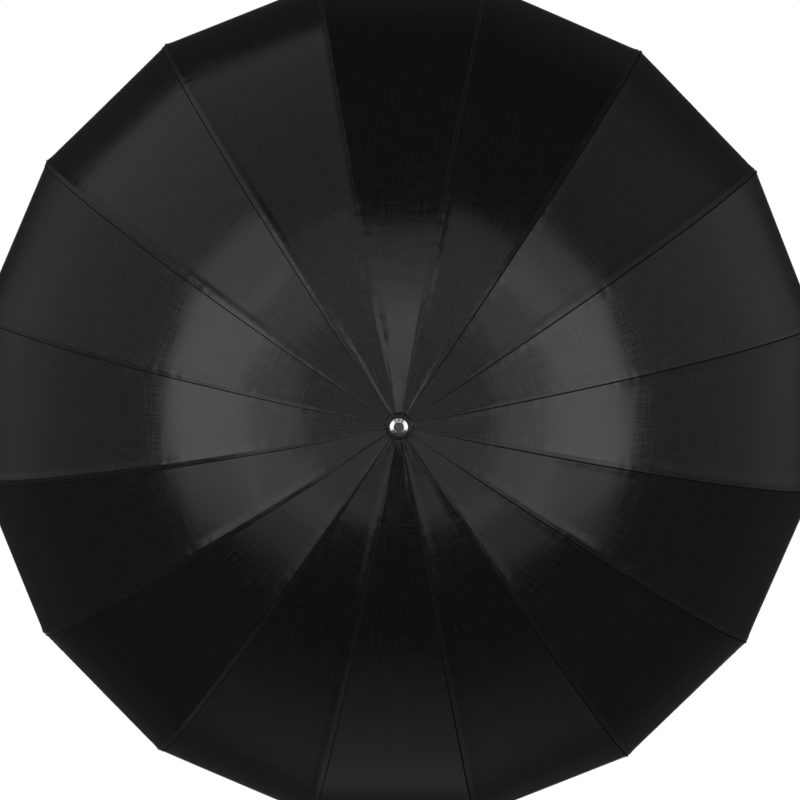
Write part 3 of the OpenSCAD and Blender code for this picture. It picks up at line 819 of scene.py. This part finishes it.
over_cloth = tip_folds(x, z) + lap_thick * np.clip(bare / over_laps, 0, 1)
top = seat + dish - over_cloth - fold_height * folds - rosette_clear - np.abs(ripple)
loop = np.concatenate([np.stack([x, top, z], axis=-1), np.stack([x, top + rosette_t, z], axis=-1)[::-1]])
points = loop.reshape(-1, 3)
quads = outwards(points, grid_quads(len(loop), turn.size, around=True, ring=True))
rosette = new_piece("tip_rosette", points, quads, [taffeta], uv=points[:, [0, 2]])
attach(rosette, "frame")
print(f"rosette from {rosette_in / mm:.1f} to {rosette_out / mm:.1f} mm")

# %% [markdown]
# On the inside, the seams are tied to the ribs with a few turns of thread, so that the cloth can't slip
# along them. A tie is a thin tube carried along a helix round the rod: at the turn a, its middle lies at
# rod radius + thread radius from the rod's line and a times the pitch along it.

# %% Thread ties on the ribs
rod_line_r = dome_r - 2.9 * mm
tie_r = 0.3 * mm
tie_wrap_r = 2.3 * mm
tie_turns = 5
steps_per_turn = 18
tie_slopes = np.radians([17, 28, 50, 62])
wound = np.linspace(0, 2 * np.pi * tie_turns, steps_per_turn * tie_turns + 1)[:, None]


def rib_tie(slope, clock):
    """Points and quads of one tie at a slope of the rib: a square ring carried round the helix."""
    t = np.array([math.cos(slope), math.sin(slope), 0])
    n = np.array([math.sin(slope), -math.cos(slope), 0])
    b = np.array([0, 0, 1.0])
    middle = np.array([centre_out, centre_deep, 0]) + rod_line_r * n
    out = tie_wrap_r + tie_r * np.cos(square)
    lengthwise = (wound / (2 * np.pi) - tie_turns / 2) * 2 * tie_r + tie_r * np.sin(square)
    points = (middle + (out * np.cos(wound))[..., None] * n + (out * np.sin(wound))[..., None] * b
              + lengthwise[..., None] * t)
    points = on_clock(points, clock).reshape(-1, 3)
    return points, outwards(points, tube_quads(len(wound)))


for k in range(1, rib_count + 1):
    clock = (k - 0.5) * pitch
    ties = new_piece(f"rib_{k:02d}_ties", *joined([rib_tie(p, clock) for p in tie_slopes]), [thread])
    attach(ties, f"rib_{k:02d}")
print(f"{len(tie_slopes)} ties on each of {rib_count} ribs, {len(ties.data.polygons)} quads a rib")

# %% [markdown]
# The fixed frame keeps its shapes, and gets its real finishes. The tip is polished chrome: a clear mirror
# with a breath of haze. The haze is a cloudy noise of about 2 mm on the roughness.

# %% Chrome
chrome, tree, shader = new_material("polished_chrome", Metallic=1.0)
haze = noise(tree, object_place(tree), 2 * mm, detail=5)
feed(tree, shader, Base_Color=between(tree, haze, "#c6c8cb", "#dedfe1"),
     Roughness=ranged(tree, haze, (0.3, 0.7), (0.05, 0.11)), Normal=bump(tree, haze, 0.12, 0.1 * mm))
print("finish:", chrome.name)

# %% [markdown]
# The shaft is a steel tube drawn through a die and plated with nickel. Drawing leaves fine lines along the
# tube, 0.1 mm apart, drawn here at 0.8 mm so that they show. They vary the colour and the gloss.

# %% Drawn steel tube
tube_finish, tree, shader = new_material("nickel_plated_drawn_tube", Metallic=1.0)
line_width, line_length = 0.8 * mm, 120 * mm
lines = add_node(tree, "ShaderNodeMapping", {"Vector": object_place(tree),
                                             "Scale": (1 / line_width, 1 / line_length, 1 / line_width)})
drawn = noise(tree, lines.outputs[0], detail=3)
feed(tree, shader, Base_Color=between(tree, drawn, "#aeb0b2", "#cccdce"),
     Roughness=ranged(tree, drawn, (0.3, 0.7), (0.18, 0.34)), Normal=bump(tree, drawn, 0.3, 0.05 * mm))
print("finish:", tube_finish.name)

# %% [markdown]
# Wires, rings, rivets and ferrules are bright zinc-plated steel: softer than chrome, with a crystalline
# mottle of about a millimetre that breaks up the highlight.

# %% Zinc-plated steel
zinc, tree, shader = new_material("bright_zinc_plated_steel", Metallic=1.0)
mottle = add_node(tree, "ShaderNodeTexVoronoi",
                  {"Vector": object_place(tree), "Scale": 1 / (1.2 * mm)}).outputs["Distance"]
feed(tree, shader, Base_Color=between(tree, mottle, "#c2c5c9", "#a2a6ac"),
     Roughness=ranged(tree, mottle, (0, 0.8), (0.26, 0.4)), Normal=bump(tree, mottle, 0.15, 0.05 * mm))
print("finish:", zinc.name)

# %% [markdown]
# The stretchers are folded steel channels with a black stoved lacquer. Lacquer pulls itself smooth but not
# flat: an orange-peel relief of about 3 mm, and here and there a thin spot that is a little greyer.

# %% Black lacquer
lacquer, tree, shader = new_material("black_stoved_lacquer", Roughness=0.28, Coat_Weight=0.3,
                                     Coat_Roughness=0.12)
place = object_place(tree)
peel = noise(tree, place, 3 * mm)
spots = ranged(tree, noise(tree, place, 14 * mm, detail=6), (0.45, 0.75))
feed(tree, shader, Base_Color=between(tree, spots, "#111113", "#2b2b2e"),
     Normal=bump(tree, peel, 0.2, 0.1 * mm))
print("finish:", lacquer.name)

# %% [markdown]
# The rib rods are pultruded fibreglass: glass rovings pulled through black resin. The surface is satin, with
# pale flecks where a fibre lies just under the resin.

# %% Fibreglass
fibreglass, tree, shader = new_material("pultruded_black_fibreglass", Roughness=0.38)
fibre = noise(tree, object_place(tree), 1.5 * mm, detail=4)
fleck = ranged(tree, fibre, (0.5, 0.8))
feed(tree, shader, Base_Color=between(tree, fleck, "#121213", "#38383a"),
     Normal=bump(tree, fibre, 0.25, 0.06 * mm))
print("finish:", fibreglass.name)

# %% [markdown]
# Crown and runner are moulded in glass-filled nylon, the grip and the plugs in ABS. Both come out of a mould
# that was spark-eroded to a fine grain: nylon a little shinier and streaky, ABS dull and even. The grain is
# about 0.3 mm and drawn at 0.9 mm.

# %% Moulded plastics
mould_grain = 0.9 * mm
nylon, tree, shader = new_material("moulded_glass_filled_nylon")
place = object_place(tree)
grain = noise(tree, place, mould_grain, detail=3)
flow = noise(tree, place, 8 * mm, distortion=1.5)
feed(tree, shader, Base_Color=between(tree, flow, "#161617", "#232324"),
     Roughness=ranged(tree, flow, (0.3, 0.7), (0.36, 0.52)), Normal=bump(tree, grain, 0.2, 0.1 * mm))

abs_finish, tree, shader = new_material("spark_grained_black_abs", Roughness=0.55)
place = object_place(tree)
grain = noise(tree, place, mould_grain)
wear = ranged(tree, noise(tree, place, 20 * mm, detail=5), (0.4, 0.7))
feed(tree, shader, Base_Color=between(tree, wear, "#101011", "#1f1f20"),
     Normal=bump(tree, grain, 0.35, 0.12 * mm))
print("finishes:", nylon.name, abs_finish.name)

# %% [markdown]
# The finishes go on the frame's own objects by filling their material slots. A rib is one object with several
# small parts: its rod is what lies within 2 mm of the rib's arc, past the rim sits the plastic nib, and all
# the rest, such as the straight ferrule at the crown, is steel.

# %% Dress the frame
rod_reach = 2.05 * mm
ribs = [f"rib_{k:02d}" for k in range(1, rib_count + 1)]


def dress(names, *finishes):
    """Replaces the materials of the named nodes."""
    for name in names:
        mesh = nodes[name].data
        mesh.materials.clear()
        for finish in finishes:
            mesh.materials.append(finish)


dress(["tip_cap"], chrome)
dress(["shaft"], tube_finish)
dress(["crown_wire", "runner_wire", "crown_pin", "stop_rings", "catch"], zinc)
dress(["crown", "runner"], nylon)
dress(["runner_grip", "shaft_end_cap", "canopy_washer"], abs_finish)
dress([f"stretcher_{k:02d}" for k in range(1, rib_count + 1)], lacquer)
dress(ribs, fibreglass, zinc, abs_finish)
for k, name in enumerate(ribs, start=1):
    mesh = nodes[name].data
    centre = np.empty(3 * len(mesh.polygons), np.float32)
    mesh.polygons.foreach_get("center", centre)
    x, y, z = centre.reshape(-1, 3).T
    clock = (k - 0.5) * pitch
    out = x * math.sin(clock) + z * math.cos(clock) - centre_out
    across = x * math.cos(clock) - z * math.sin(clock)
    up = centre_deep - (y - apex_y)
    off_line = np.hypot(np.hypot(out, up) - rod_line_r, across)
    slope = np.arctan2(out, up)
    is_rod = (off_line < rod_reach) & (slope > apex_slope)
    part = np.where(slope > rim_slope, 2, np.where(is_rod, 0, 1))
    mesh.polygons.foreach_set("material_index", part.astype(np.int32))
print(f"{np.sum(is_rod)} faces of {len(is_rod)} on the last rib are rod")
